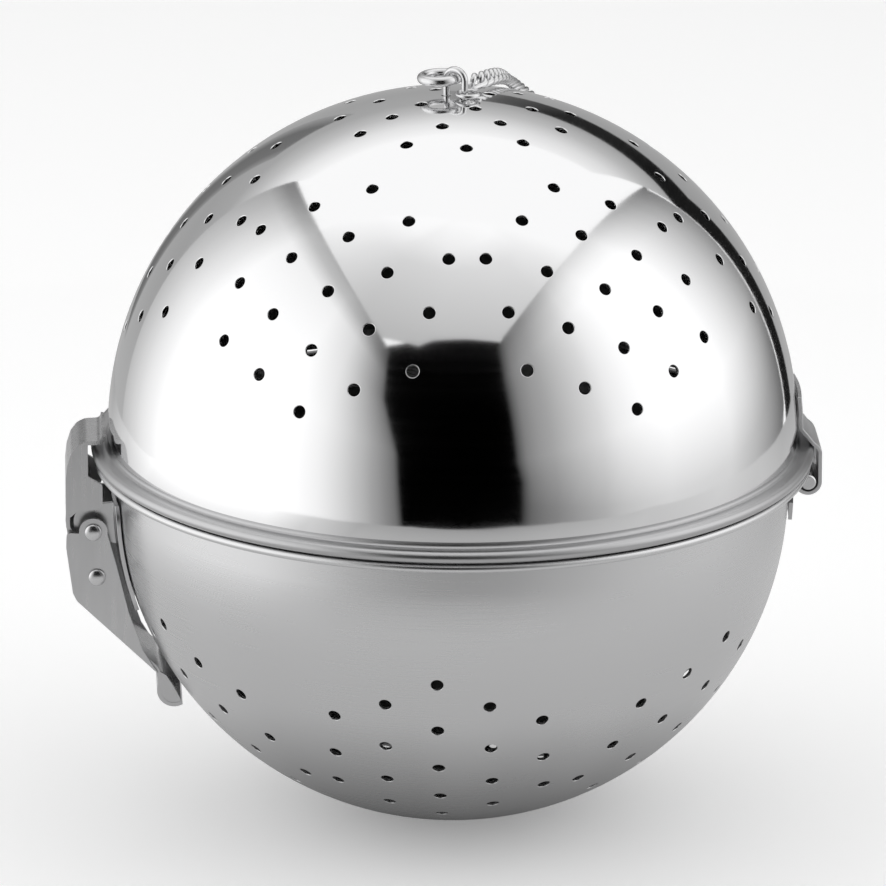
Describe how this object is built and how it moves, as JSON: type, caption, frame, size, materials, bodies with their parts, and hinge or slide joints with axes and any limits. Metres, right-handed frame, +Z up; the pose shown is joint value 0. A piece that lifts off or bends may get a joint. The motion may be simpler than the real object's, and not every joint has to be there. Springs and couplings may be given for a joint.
{
  "type": "tea infuser ball",
  "caption": "Perforated steel ball in two hinged halves, closed by a toggle latch, with a ring and a link chain at its top.",
  "frame": {"origin": "centre of the small flat foot under the bowl", "axes": "+Z up through the eye at the lid's pole, +X towards the hinge, -X towards the latch"},
  "size_m": [0.1533, 0.1464, 0.1557],
  "materials": {
    "polished_steel": "mirror polished",
    "satin_steel": "satin",
    "stamped_steel": "semi-gloss",
    "plated_wire": "polished"
  },
  "bodies": {
    "bowl": {"bowl": "satin_steel", "hinge_leaf_bowl": "stamped_steel", "hinge_pin": "plated_wire", "latch_base": "stamped_steel", "lever_rivet": "plated_wire"},
    "lid": {"lid": "polished_steel", "hinge_leaf_lid": "stamped_steel", "lid_eye": "plated_wire", "chain_ring": "plated_wire", "chain": "plated_wire", "chain_hook": "plated_wire"},
    "lever": {"latch_lever": "stamped_steel", "hook_rivet": "plated_wire"},
    "hook": {"latch_hook": "stamped_steel"},
    "ring": {"eye_ring": "plated_wire"}
  },
  "joints": [
    {"name": "lid_hinge", "type": "hinge", "parent": "bowl", "child": "lid", "pos_m": [0.0719, 0, 0.07006], "axis": [0, 1, 0], "range_deg": [0, 150]},
    {"name": "lever_pivot", "type": "hinge", "parent": "bowl", "child": "lever", "pos_m": [-0.0731, 0, 0.06096], "axis": [0, 1, 0], "range_deg": [0, 100]},
    {"name": "hook_swing", "type": "hinge", "parent": "lever", "child": "hook", "pos_m": [-0.0724, 0, 0.05136], "axis": [0, 1, 0], "range_deg": [-105, 0]},
    {"name": "ring_fold", "type": "hinge", "parent": "lid", "child": "ring", "pos_m": [0, 0, 0.15306], "axis": [0.6, 0.8, 0], "range_deg": [-16, 112]}
  ],
  "couplings": [
    {"joint": "hook_swing", "follows": "lever_pivot", "ratio": -1.05}
  ]
}
